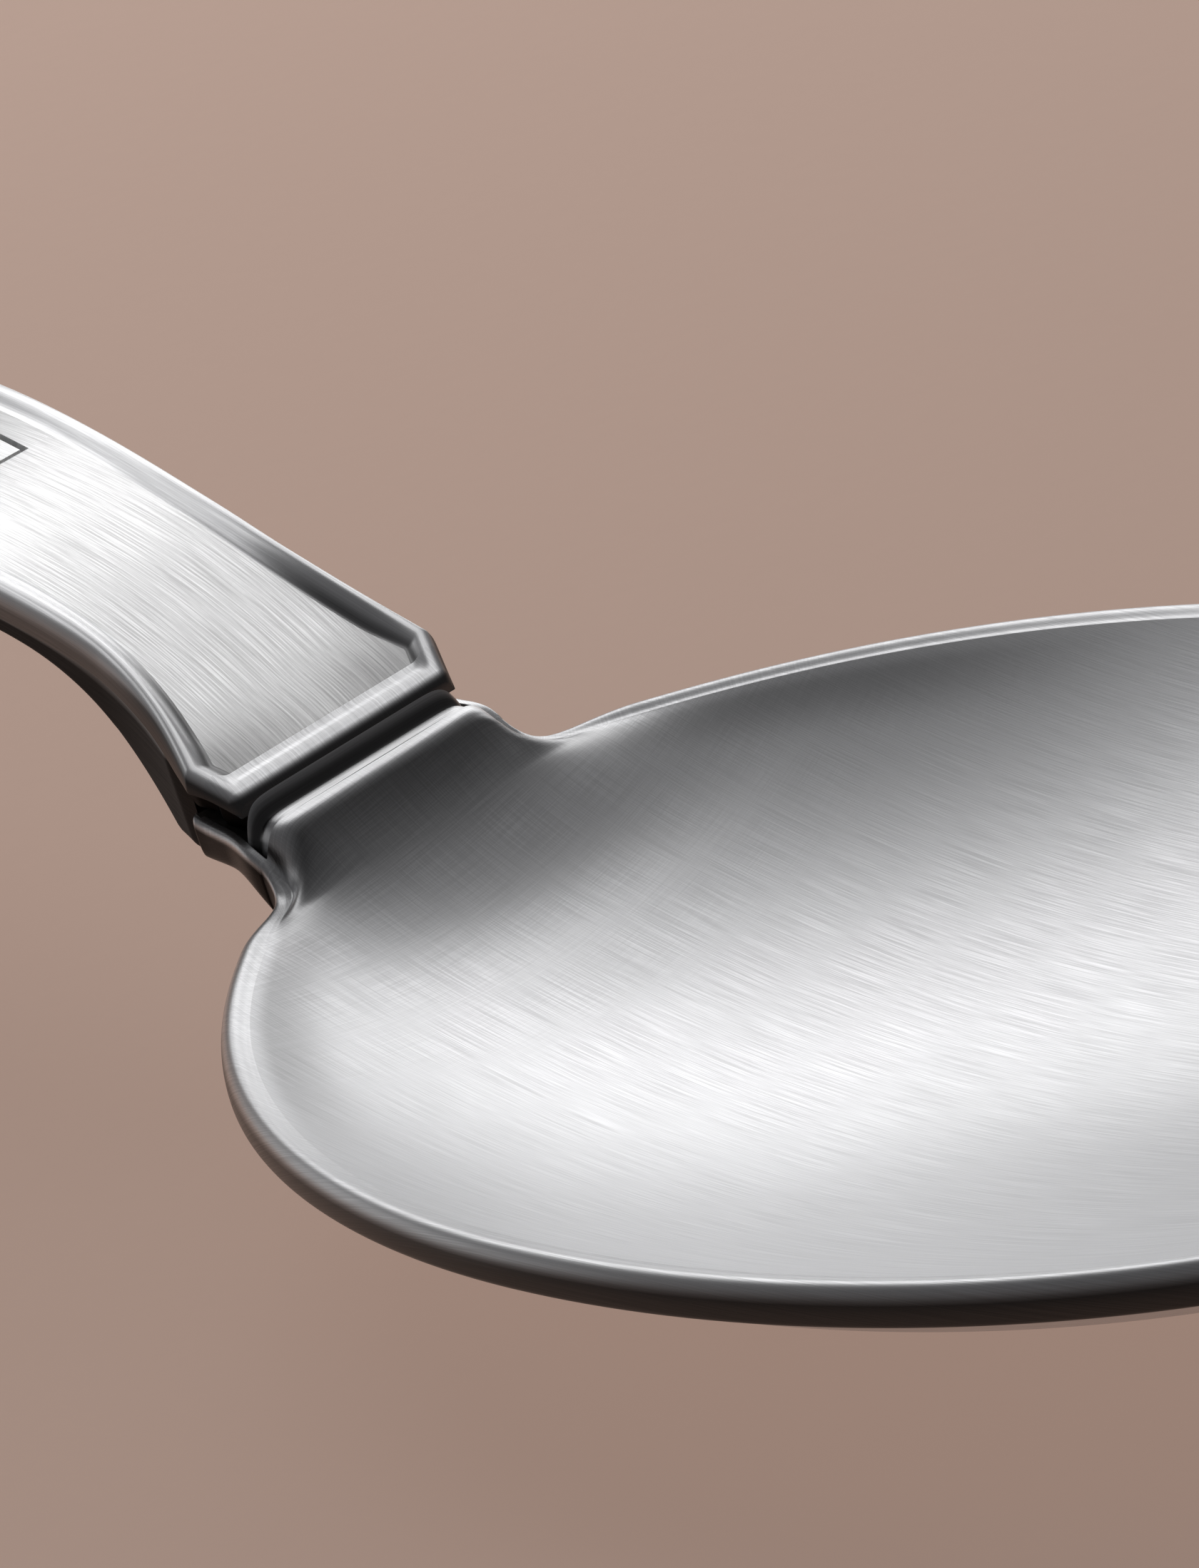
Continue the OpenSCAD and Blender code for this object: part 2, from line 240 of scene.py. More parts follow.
# Where the neck's bead lies in the frame
TIP_X = OVAL_END + LIP_WIDTH + LIP_BELLY
ORIGIN = np.array([(HANDLE_LENGTH - TIP_X) / 2, 0.0, BEAD_Z])


def mix(a, b, t):
    return a + (b - a) * t


def smooth(t):
    t = np.clip(t, 0, 1)
    return t * t * (3 - 2 * t)


def ease(x, stretch):
    """Grows smoothly from 0 at the first place of a stretch to 1 at its second."""
    start, end = stretch
    return smooth((x - start) / (end - start))


def soft_max(a, b, k):
    return k * np.logaddexp(a / k, b / k)


def soft_min(a, b, k):
    h = np.clip(k - np.abs(a - b), 0, None) / k
    return np.minimum(a, b) - h * h * k / 4


def curve(s, sa, a, ma, sb, b, mb):
    """Cubic from value a with slope ma at sa to value b with slope mb at sb."""
    h = sb - sa
    t = (s - sa) / h
    return (a * (2 * t**3 - 3 * t**2 + 1) + ma * h * (t**3 - 2 * t**2 + t)
            + b * (3 * t**2 - 2 * t**3) + mb * h * (t**3 - t**2))


def graded(start, end, count, power):
    return mix(start, end, np.linspace(0, 1, count) ** power)


def outward(count):
    """Shares from 0 to 1, closer together toward 1."""
    return np.sin(np.radians(np.linspace(0, 90, count)))


def section_at(s, y, z):
    """Points of a section across the handle, at a distance s from the bead."""
    return np.column_stack([np.full(len(y), -s), y, z])


# Bowl


def rim_x(t):
    """X of the rim: t from -1 to 0 is the straight neck, 0 to 180 degrees one side of the oval."""
    if t <= 0:
        return mix(JOINT_X, OVAL_START, 1 + t)
    reach = OVAL_REACH if t < 90 else OVAL_END - OVAL_MIDDLE
    return OVAL_MIDDLE - reach * np.cos(np.radians(t))


def flare_half(x):
    """Half the width at a distance from the bead, where the neck flares out into the oval."""
    along = np.clip((OVAL_MIDDLE - x) / OVAL_REACH, -1, 1)
    oval = BOWL_WIDTH / 2 * (1 - along**2) ** (NECK_OVAL_POWER / 2)
    return soft_max(oval, NECK_HALF, FLARE_SOFTNESS)


def rim_half(t):
    """Half the width of the rim, evened out where the oval begins."""
    if t >= 90:
        return BOWL_WIDTH / 2 * np.sin(np.radians(t))
    even = EVEN_REACH * ease(t, EVEN_TURNS)
    return np.mean(flare_half(rim_x(t) + even * np.linspace(-1, 1, EVEN_SAMPLES)))


def rim_out(t):
    """Outward direction of the rim in plan."""
    if t <= 0:
        return np.array([0.0, 1.0])
    if t >= TIP_TURN:
        return np.array([1.0, 0.0])
    dx = rim_x(t + TURN_STEP) - rim_x(t - TURN_STEP)
    dw = rim_half(t + TURN_STEP) - rim_half(t - TURN_STEP)
    return np.array([-dw, dx]) / math.hypot(dw, dx)


def row_root(t):
    """X where row t starts on the middle line; toward the tip the rows fan out."""
    x = rim_x(t)
    return x if t < 90 else OVAL_MIDDLE + TIP_FAN * (x - OVAL_MIDDLE)


def hollow_level(x):
    """Share of the bowl's depth on its middle line, from the neck to the middle of the oval."""
    return soft_max(1 - ((x - OVAL_MIDDLE) / OVAL_REACH) ** 2, 0.0, HOLLOW_SOFTNESS)


def ramp_rise(x):
    """How far the ramp below the bead stands above the bowl's own hollow, on the middle line."""
    if x > RAMP_LENGTH:
        return 0.0
    bed = RIM_Z - BOWL_DEPTH * hollow_level(x)
    foot = RIM_Z - BOWL_DEPTH * hollow_level(RAMP_LENGTH)
    foot_slope = -2 * BOWL_DEPTH * (OVAL_MIDDLE - RAMP_LENGTH) / OVAL_REACH**2
    if x < RAMP_STEEP_AT:
        return curve(x, JOINT_X, RAMP_Z, RAMP_SLOPE, RAMP_STEEP_AT, RAMP_STEEP_Z, RAMP_STEEP) - bed
    return curve(x, RAMP_STEEP_AT, RAMP_STEEP_Z, RAMP_STEEP, RAMP_LENGTH, foot, foot_slope) - bed


def edge_height(x):
    """Height of the ledge's crest beside the neck, which runs out into the rim."""
    shifts = np.linspace(-EDGE_BLUR, EDGE_BLUR, EDGE_SAMPLES)
    near = [np.interp(x + shift, EDGE_PLACES, EDGE_HEIGHTS) for shift in shifts]
    return np.mean(near, axis=0)


def neck_lift(x):
    """How far the bowl's underside is drawn up toward the neck."""
    return NECK_LIFT * ease(x, NECK_LIFTS)


def hollow_drop(t, r):
    """Depth below the rim at shares r of row t, as a share of the bowl's depth, without the ramp."""
    if t < 90:
        return hollow_level(row_root(t)) * (1 - r * r)
    x = mix(row_root(t), rim_x(t), r)
    along = (x - OVAL_MIDDLE) / (OVAL_END - OVAL_MIDDLE)
    return 1 - along**2 - (r * math.sin(math.radians(t))) ** 2


def bowl_top(t, r, reach):
    """Height of the hollow at shares r of row t, which is reach long from its root to the rim."""
    x = rim_x(t)
    edge_power = mix(RAMP_EDGE, RAMP_EDGE_SOFT, ease(x, RAMP_SOFTENS))
    ramp_half = mix(BEAD_HALF, reach, ease(x, RAMP_SPREADS))
    within = (1 - np.minimum(1.0, r * reach / ramp_half) ** edge_power) ** RAMP_ROUND
    at_neck = ramp_rise(x) * within + (edge_height(x) - RIM_Z) * (1 - within)
    return RIM_Z - BOWL_DEPTH * hollow_drop(t, r) + at_neck


def bowl_bottom(t, r):
    drop = hollow_drop(t, r)
    lift = neck_lift(rim_x(t))
    return np.maximum(-BEAD_Z, RIM_Z + lift - BOWL_DEPTH * drop - mix(LIP_HEIGHT, BOWL_WALL, drop))


def edge_profile():
    """Upright rounded edge, from bottom to top: shares of its round outward, and of its height."""
    turn = np.radians(np.linspace(-90, 90, LIP_POINTS))
    out = np.abs(np.cos(turn)) ** EDGE_POWER - 1
    up = np.sign(np.sin(turn)) * np.abs(np.sin(turn)) ** EDGE_POWER
    return out, (up - 1) / 2


def lip_profile():
    """The lip's round from below to the hollow's edge: distances outward and heights above the rim."""
    under = np.radians(np.linspace(-90, 0, LIP_UNDER_POINTS))
    over = np.radians(np.linspace(0, 90, LIP_OVER_POINTS + 1)[1:])
    inner = np.linspace(1, 0, LIP_INNER_POINTS + 1)[1:]
    out = np.concatenate([LIP_WIDTH - LIP_TURN_IN * (1 - np.cos(under)),
                          LIP_CREST_OUT + (LIP_WIDTH - LIP_CREST_OUT) * np.cos(over),
                          LIP_CREST_OUT * inner])
    up = np.concatenate([LIP_BELLY_Z + LIP_TURN_DOWN * np.sin(under),
                         LIP_BELLY_Z + (LIP_CREST_UP - LIP_BELLY_Z) * np.sin(over),
                         LIP_CREST_UP * smooth(inner)])
    return out, up


def bowl_side(t):
    """Edge of row t, in plan and in height, which grows from a ledge at the neck into the full lip."""
    x = rim_x(t)
    rise, lift = edge_height(x) - RIM_Z, neck_lift(x)
    grown = ease(x, LIP_GROWS)
    lip_out, lip_up = lip_profile()
    edge_out, edge_up = edge_profile()
    side_out = mix(TONGUE_EDGE * edge_out, lip_out, grown)
    side_up = mix(LIP_HEIGHT * edge_up, lip_up, grown) + rise + (rise - lift) * edge_up
    rim = np.array([x, rim_half(t) + EDGE_FLARE * rise])
    return rim + rim_out(t) * side_out[:, None], RIM_Z + side_up


def bowl_half_row(t):
    """Half a row of the bowl: out along its underside, round the lip, and back over the hollow."""
    root = np.array([row_root(t), 0.0])
    side, z_side = bowl_side(t)
    r_under = outward(UNDER_POINTS)[:-1]
    r_top = outward(HOLLOW_POINTS)[-2::-1]
    under = root + (side[0] - root) * r_under[:, None]
    over = root + (side[-1] - root) * r_top[:, None]
    to_lip = z_side[0] - bowl_bottom(t, 1.0)
    z_under = bowl_bottom(t, r_under) + to_lip * ease(r_under, LIP_JOINS)
    z_over = bowl_top(t, r_top, np.linalg.norm(side[-1] - root))
    return np.vstack([np.column_stack([under, z_under]),
                      np.column_stack([side, z_side]),
                      np.column_stack([over, z_over])])


def bowl_rows():
    """Places of the bowl's rows round the rim, close together by the neck."""
    near = np.arange(OVAL_START + FIRST_ROW, CLOSE_ROWS_END, CLOSE_SPACING)
    far = np.arange(CLOSE_ROWS_END, OVAL_MIDDLE, WIDE_SPACING)
    turns = np.degrees(np.arccos((OVAL_MIDDLE - np.concatenate([near, far])) / OVAL_REACH))
    return np.concatenate([np.linspace(-1, 0, NECK_ROWS), turns, np.linspace(90, 180, TIP_ROWS)[:-1]])


# Tongue of the bowl under the handle


def tongue_top(s):
    return RIM_Z + LAP_SLOPE * s


def neck_under(s):
    """Underside of the neck, from the bowl back to where the handle's own underside begins."""
    start_z = RIM_Z - LIP_HEIGHT + NECK_LIFT
    near = curve(s, -JOINT_X, start_z, UNDER_START_SLOPE, UNDER_LAST, UNDER_LAST_Z, UNDER_LAST_SLOPE)
    return np.where(s < UNDER_LAST, near, UNDER_LAST_Z + UNDER_LAST_SLOPE * (s - UNDER_LAST))


def flange_rise(s):
    """How far the tongue's edges stand up beside the end of the handle."""
    return np.maximum(edge_height(-s) - tongue_top(s), 0.0)


def tongue_half_row(s):
    """Half a row of the tongue that runs back under the handle, hidden in it at its heel."""
    hidden = ease(s, HEEL_HIDES)
    rise = flange_rise(s)
    half = mix(rim_half(-1), NECK_HALF, ease(s, TONGUE_NARROWS))
    half += EDGE_FLARE * rise - HEEL_NARROWER * hidden
    top, bottom = tongue_top(s), neck_under(s) + HEEL_HIGHER * hidden
    edge_out, edge_up = edge_profile()
    y_side = half + TONGUE_EDGE * edge_out
    z_side = top + rise + (top + rise - bottom) * edge_up
    y_under = outward(UNDER_POINTS)[:-1] * y_side[0]
    y_top = outward(HOLLOW_POINTS)[-2::-1] * y_side[-1]
    z_top = top + rise * ease(y_top, (half - FLANGE_FOOT, half - FLANGE_TOP))
    y = np.concatenate([y_under, y_side, y_top])
    z = np.concatenate([np.full(len(y_under), bottom), z_side, z_top])
    return section_at(s, y, z)


# Handle


def crest(s):
    """Height of the raised frame along the handle."""
    end = HANDLE_THICKNESS - BEAD_Z
    return np.select(
        [s < SHOULDER_AT, s < RISE_AT, s < CROWN_AT, s < TOUCH_AT],
        [SHOULDER_Z - SHOULDER_SLOPE * (SHOULDER_AT - s),
         curve(s, SHOULDER_AT, SHOULDER_Z, SHOULDER_SLOPE, RISE_AT, RISE_Z, RISE_SLOPE),
         curve(s, RISE_AT, RISE_Z, RISE_SLOPE, CROWN_AT, CROWN_HEIGHT, 0),
         curve(s, CROWN_AT, CROWN_HEIGHT, 0, TOUCH_AT, end, 0)], end)


def blade_half(s):
    """Half the handle's width."""
    shoulder, waist, end = SHOULDER_WIDTH / 2, WAIST_WIDTH / 2, END_WIDTH / 2
    past = np.clip(s - HANDLE_LENGTH + END_CORNER, 0, END_CORNER)
    return np.select(
        [s < SHOULDER_AT, s < WAIST_AT, s < SWELL_AT, s < WIDEST_AT],
        [shoulder - CORNER_SLOPE * (SHOULDER_AT - s),
         curve(s, SHOULDER_AT, shoulder, SHOULDER_TAPER, WAIST_AT, waist, 0),
         curve(s, WAIST_AT, waist, 0, SWELL_AT, SWELL_HALF, SWELL_SLOPE),
         curve(s, SWELL_AT, SWELL_HALF, SWELL_SLOPE, WIDEST_AT, end, 0)],
        end - END_CORNER + np.sqrt(END_CORNER**2 - past**2))


def blade_thickness(s):
    """Thickness of the handle, from its heel behind the tongue to its even part."""
    heel = crest(LAP_END) - tongue_top(LAP_END) + TONGUE_THICKNESS
    place = np.clip(s, LAP_END, THIN_AT)
    return curve(place, LAP_END, heel, HEEL_TAPER, THIN_AT, HANDLE_THICKNESS, 0)


def blade_under(s):
    """Underside of the handle: over the tongue, flush with the neck, then thinning to the waist."""
    return np.select([s < HEEL_FROM, s < LAP_END], [tongue_top(s) + LAP_GAP, neck_under(s)],
                     crest(s) - blade_thickness(s))


def wire_height(s):
    """Height of the frame's wires, which thin out over the notch at the neck."""
    return mix(NECK_WIRE_HEIGHT, WIRE_HEIGHT, ease(s, WIRE_GROWS))


def neck_front(s):
    """Height of the front of the neck, over the cross wire, the cove and the bead."""
    places, heights = NECK_PLACES[::-1], NECK_HEIGHTS[::-1]
    near = [np.interp(s + shift, places, heights) for shift in (-NECK_BLUR, 0.0, NECK_BLUR)]
    return (near[0] + 2 * near[1] + near[2]) / 4


def side_fall(s):
    """Height over which the handle's side curves down from the crest to its widest."""
    full = np.minimum(blade_thickness(s) - SIDE_LEFT, SIDE_FALL)
    return mix(NECK_SIDE_FALL, full, ease(s, SIDE_DEEPENS))


def panel_drop(s):
    """Depth of the panel below the frame's crest, most a little way up from the neck."""
    near = mix(NECK_RECESS, DEEP_RECESS, ease(s, PANEL_DEEPENS))
    return mix(near, FAR_RECESS, ease(s, PANEL_RISES))


def border_drop(s, d):
    """How far the top lies below the crest, at a distance d in from the frame's outline."""
    over = 1 - np.clip(d / CREST_INSET, 0, 1)
    outer = side_fall(s) * (1 - (1 - over**SIDE_POWER) ** (1 / SIDE_POWER))
    return outer + panel_drop(s) * ease(d, WALL_FALLS)


def frame_inset(s, y):
    """Distance in from the outline of the raised frame, rounded where its sides meet its ends."""
    round_s = np.clip(s - HANDLE_LENGTH + END_CORNER, 0, None)
    round_y = np.clip(np.abs(y) - END_WIDTH / 2 + END_CORNER, 0, None)
    side = blade_half(s) - np.abs(y)
    far_end = np.minimum(np.minimum(HANDLE_LENGTH - s, END_WIDTH / 2 - np.abs(y)),
                         END_CORNER - np.hypot(round_s, round_y))
    neck = np.maximum(CREST_INSET + (s - NECK_CREST) * NECK_SCALE, CREST_INSET)
    return np.clip(np.where(s > WIDEST_AT, far_end, soft_min(side, neck, CORNER_SOFTNESS)), 0, None)


def frame_top(s, y):
    """Height of the raised frame's surface, which follows the neck's front before its crest."""
    top = crest(s) - border_drop(s, frame_inset(s, y))
    return np.where(s < NECK_CREST, top - crest(s) + neck_front(s), top)


def panel_half(s):
    """Half the width between the feet of the two side wires."""
    inner = END_CORNER - WIRE_FOOT
    past = np.clip(s - HANDLE_LENGTH + END_CORNER, 0, inner)
    rounded = END_WIDTH / 2 - END_CORNER + np.sqrt(inner**2 - past**2)
    return np.where(s > HANDLE_LENGTH - END_CORNER, rounded, blade_half(s) - WIRE_FOOT)


def blade_side(s, half, edge):
    """Outer side of the blade from the underside's edge, round and up to the bed of the wire."""
    fall, height = side_fall(s), wire_height(s)
    deepest = np.maximum(fall, height)
    turn = np.radians(np.linspace(0, 90, BLADE_ROUND_POINTS)[1:])
    round_z = np.minimum(ROUND_HEIGHT, ROUND_SHARE * (crest(s) - deepest - edge))
    above = np.linspace(deepest, height, BLADE_SIDE_POINTS)
    over = (1 - np.clip(1 - above / fall, 0, 1) ** SIDE_POWER) ** (1 / SIDE_POWER)
    y = np.concatenate([half - ROUND_WIDTH * (1 - np.sin(turn)), half - CREST_INSET * (1 - over)])
    z = np.concatenate([edge + round_z * (1 - np.cos(turn)), crest(s) - above])
    return y, z


def blade_half_section(s, strip_drop, middle_drop):
    """Half a section of the blade, from the bottom's middle line round the side to the top's."""
    half, low, top = blade_half(s), blade_under(s), crest(s)
    notched = half - NOTCH_DEPTH * ease(s, NOTCH_OPENS)
    lift = UNDER_CROWN * ease(s, UNDER_CROWNS)
    y_under = np.linspace(0, notched - ROUND_WIDTH, BLADE_UNDER_POINTS)
    z_under = low + lift * (y_under / y_under[-1]) ** 2
    y_side, z_side = blade_side(s, notched, low + lift)
    foot = panel_half(s)
    pocket = half - BORDER_WIDTH - PLATE_MARGIN
    y_top = np.array([foot + STEP, foot, pocket + STEP, pocket, 0.0])
    z_top = top - np.array([wire_height(s), strip_drop, strip_drop, middle_drop, middle_drop])
    return section_at(s, np.concatenate([y_under, y_side, y_top]), np.concatenate([z_under, z_side, z_top]))


def side_insets(s, low_drop, count):
    """Distances in from the outline, from where the side has fallen by low_drop up to the crest."""
    left = np.clip(1 - low_drop / side_fall(s), 0, 1)
    steepest = math.acos(left ** (SIDE_POWER / 2))
    return CREST_INSET * (1 - np.sin(np.linspace(steepest, 0, count)) ** (2 / SIDE_POWER))


def crown_insets(s):
    """Places across a wire, from its outer side over its crest to its foot."""
    outer = side_insets(s, wire_height(s), WIRE_OUTER_POINTS)
    return np.concatenate([outer, np.linspace(CREST_INSET, WIRE_FOOT, WIRE_INNER_POINTS)[1:]])


def side_wire_section(s):
    """Closed section of a side wire: up its outer side, over its crest, and down to its bed."""
    outer, inner = blade_half(s), panel_half(s)
    y = outer - crown_insets(s) * (outer - inner) / WIRE_FOOT
    low = crest(s) - wire_height(s)
    z = np.maximum(frame_top(s, y), low)
    return section_at(s, np.append(y, inner), np.append(z, low))


def cross_wire_half_section(s):
    """Half a section of a cross wire, which has the frame's corners in it."""
    outer = blade_half(s)
    low = crest(s) - wire_height(s)
    d = np.concatenate([crown_insets(s), np.linspace(WIRE_FOOT, outer, WIRE_MIDDLE_POINTS)[1:]])
    z_top = np.maximum(frame_top(s, outer - d), low)
    y = np.concatenate([[0.0, outer - d[0] - STEP], outer - d])
    z = np.concatenate([[low - STEP, low - STEP], z_top])
    return section_at(s, y, z)


def bead_section(y):
    """Closed section of the bead and cove, with the same round ends as the ramp."""
    front = JOINT_X - STEP
    places = np.linspace(-front, BLADE_START, BEAD_POINTS)
    share = (1 - (abs(y) / BEAD_HALF) ** RAMP_EDGE) ** RAMP_ROUND
    floor = tongue_top(places)
    tops = floor + (neck_front(places) - floor) * share
    base = np.array([[-BLADE_START, floor[-1] - STEP], [front, floor[0] - STEP]])
    section = np.vstack([base, np.column_stack([-places, tops])])
    return np.column_stack([section[:, 0], np.full(len(section), y), section[:, 1]])


def plate_half_section(s):
    """Half a section of the plate, from the middle of its bottom to that of its top."""
    half = blade_half(s) - BORDER_WIDTH - PLATE_MARGIN - PLATE_LINE
    top = crest(s) - panel_drop(s)
    y = np.concatenate([[0.0, half], half - np.array(PLATE_EDGE_IN), [0.0]])
    drops = np.array([PLATE_THICKNESS, PLATE_THICKNESS, *PLATE_EDGE_DROP, 0.0])
    return section_at(s, y, top - drops)


# Painted shade, dark colour painted where the spoon lies in shade or mirrors dark surroundings: shares of
# full darkness, and stretches over which it comes up; a minus counts the other way

TONGUE_DARK_X = (0.3, -0.2)
BELOW_LEDGE = (-0.1, -0.3)  # above the ledge's crest
ABOVE_UNDERSIDE = (0.0, 0.12)  # above the neck's underside
UNDERSIDE_SHARE = 0.25
NECK_SIDE = (-0.15, -0.05)  # out from the flare
NECK_SIDE_X = (1.8, 1.2)

BEAD_PAINTED_SHADE = 0.9
BEAD_END = (-0.25, -0.15)  # out from the bead's end
LOW_ON_BEAD = (-0.15, -0.45)
ABOVE_LEDGE = (0.03, 0.18)  # above the ledge's crest
RAMP_EDGE_X = (1.0, 0.5)
COVE_AT = 0.46
IN_COVE = (0.34, 0.08)  # from the middle of the cove

RAMP_PAINTED_SHADE = 0.78
RAMP_DARKENS_X = (0.5, 0.85)
RAMP_CLEARS_X = (3.6, 0.6)
RAMP_TOP = (-0.6, -0.3)  # above the hollow
RAMP_MIDDLE = (0.3, 1.2)  # in from the flare

LIP_PAINTED_SHADE = 0.92
LIP_UPPER = (0.02, -0.26)  # above the rim
LIP_LOWER = (-1.15, -1.0)  # above the rim
LIP_DARKENS_X = (2.0, 6.0)
OUTSIDE_RIM = (0.99, 1.01)  # as a share of the oval

INNER_PAINTED_SHADE = 0.35
BAND_OUTER = (0.0, 0.6)  # in from the flare
BAND_INNER = (2.8, 0.8)  # in from the flare
BAND_STARTS_X = (0.8, 2.3)
BAND_ENDS_X = (16.0, 8.0)
ON_HOLLOW = (-0.5, -0.4)  # above the hollow

BELOW_WIRE = (0.05, -0.05)  # above the wire's bed
NOTCH_DARK = (3.3, 2.5)
HANDLE_SIDE = (-0.6, -0.35)  # out from the handle's side
CORNER_PAINTED_SHADE = 0.5
MIDDLE_SHARE = 0.45
PANEL_CORNER = (1.0, 2.6)
PANEL_END_DARK = (3.6, 1.6)

NECK_WIRE_PAINTED_SHADE = 0.9
SIDE_WIRE_PAINTED_SHADE = 0.76
SIDE_WIRE_CLEARS = (30.0, 14.0)
PAST_NECK = (3.0, 6.0)
OUTSIDE_CREST = (0.14, 0.04)  # in from the crest
NECK_SIDE_DROP = (0.05, 0.25)  # below the crest, by the neck
FAR_SIDE_DROP = (0.2, 0.6)  # below the crest, past the neck
WALL_PAINTED_SHADE = 0.7
INNER_WALL = (0.62, 0.87)  # in from the handle's side
WALL_CLEARS = (6.5, 3.5)


def tongue_painted_shade(x, y, z):
    """Painted shade on the tongue and the neck's sides, less underneath and none on the ledge's crest."""
    below_crest = ease(z - edge_height(x), BELOW_LEDGE)
    above_under = mix(UNDERSIDE_SHARE, 1, ease(z - neck_under(-x), ABOVE_UNDERSIDE))
    side = ease(np.abs(y) - flare_half(x), NECK_SIDE) * ease(x, NECK_SIDE_X)
    return np.maximum(ease(x, TONGUE_DARK_X), side) * below_crest * above_under


def low_on_bead_end(y, z):
    return ease(np.abs(y) - BEAD_HALF, BEAD_END) * ease(z, LOW_ON_BEAD)


def ramp_edge_painted_shade(x, y, z):
    """Painted shade on the low wall at each edge of the ramp, beside the bead."""
    wall = ease(z - edge_height(x), ABOVE_LEDGE) * low_on_bead_end(y, z)
    return BEAD_PAINTED_SHADE * wall * ease(x, RAMP_EDGE_X)


def hollow_bed(x):
    """Height of the hollow on the middle line, without the ramp."""
    return RIM_Z - BOWL_DEPTH * np.clip(1 - ((x - OVAL_MIDDLE) / OVAL_REACH) ** 2, 0, 1)


def ramp_painted_shade(x, y, z):
    """Painted shade in front of the bead, which clears down the ramp and toward its edges."""
    along = ease(x, RAMP_DARKENS_X) * ease(x, RAMP_CLEARS_X)
    on_top = ease(z - hollow_bed(x), RAMP_TOP)
    return RAMP_PAINTED_SHADE * along * on_top * ease(flare_half(x) - np.abs(y), RAMP_MIDDLE)


def lip_painted_shade(x, y, z):
    """Painted shade round the lip's outer edge."""
    height = ease(z - RIM_Z, LIP_UPPER) * ease(z - RIM_Z, LIP_LOWER)
    oval = np.hypot((x - OVAL_MIDDLE) / (BOWL_LENGTH / 2), y / (BOWL_WIDTH / 2))
    return LIP_PAINTED_SHADE * height * ease(x, LIP_DARKENS_X) * ease(oval, OUTSIDE_RIM)


def inner_painted_shade(x, y, z):
    """Faint band of painted shade inside the lip, in the part of the bowl by the neck."""
    half = flare_half(x)
    inset = half - np.abs(y)
    hollow = RIM_Z - (RIM_Z - hollow_bed(x)) * (1 - (y / half) ** 2)
    band = ease(inset, BAND_OUTER) * ease(inset, BAND_INNER)
    along = ease(x, BAND_STARTS_X) * ease(x, BAND_ENDS_X)
    return INNER_PAINTED_SHADE * band * along * ease(z - hollow, ON_HOLLOW)


def bowl_painted_shade(x, y, z):
    """Painted shade over the bowl, at each point the darkest of its kinds."""
    kinds = (tongue_painted_shade, ramp_edge_painted_shade, ramp_painted_shade, lip_painted_shade, inner_painted_shade)
    return np.max([kind(x, y, z) for kind in kinds], axis=0)


def blade_painted_shade(x, y, z):
    """Painted shade in the notch, down the handle's sides, and on the panel's end by the neck wire."""
    s, across = -x, np.abs(y)
    below = ease(z - crest(s) + wire_height(s), BELOW_WIRE)
    side = LIP_PAINTED_SHADE * ease(across - blade_half(s), HANDLE_SIDE)
    corner = mix(MIDDLE_SHARE, 1, ease(across, PANEL_CORNER))
    panel_end = CORNER_PAINTED_SHADE * ease(s, PANEL_END_DARK) * corner * (1 - below)
    return np.maximum(below * np.maximum(ease(s, NOTCH_DARK), side), panel_end)


def cove_painted_shade(x, y, z):
    """Painted shade in the hollow of the cove and low down on the bead's ends."""
    in_cove = ease(np.abs(-x - COVE_AT), IN_COVE)
    return BEAD_PAINTED_SHADE * np.maximum(in_cove, low_on_bead_end(y, z))


def outer_painted_shade(x, y, z):
    """Painted shade down the outer sides of the frame's wires, most beside the neck."""
    s = -x
    up = ease(s, PAST_NECK)
    below = crest(np.maximum(s, NECK_CREST)) - z
    outside = ease(frame_inset(s, y) - CREST_INSET, OUTSIDE_CREST)
    share = mix(NECK_WIRE_PAINTED_SHADE, SIDE_WIRE_PAINTED_SHADE * ease(s, SIDE_WIRE_CLEARS), up)
    darkens = [mix(near, far, up) for near, far in zip(NECK_SIDE_DROP, FAR_SIDE_DROP)]
    return share * ease(below, darkens) * outside


def wire_painted_shade(x, y, z):
    """Painted shade on the outer side of a side wire and, by the neck, down its inner wall."""
    s = -x
    inner = WALL_PAINTED_SHADE * ease(blade_half(s) - np.abs(y), INNER_WALL) * ease(s, WALL_CLEARS)
    return np.maximum(inner, outer_painted_shade(x, y, z))


# Meshes

STROKES = "strokes"
# Point layer with each point's share of painted shade
PAINTED_SHADE_LAYER = "painted_shade"
SHARP_DEG = 40
BOWL_SHARP_DEG = 50


def full_ring(half):
    other = half[-2:0:-1] * [1, -1, 1]
    return np.vstack([half, other])


def running_length(points):
    steps = np.linalg.norm(np.diff(points, axis=0), axis=1)
    return np.concatenate([[0], np.cumsum(steps)])


def ring_lengths(ring, top):
    """Running length round a closed ring from its point number top, with the closing point last."""
    lengths = running_length(np.vstack([ring, ring[:1]]))
    return lengths - lengths[top]


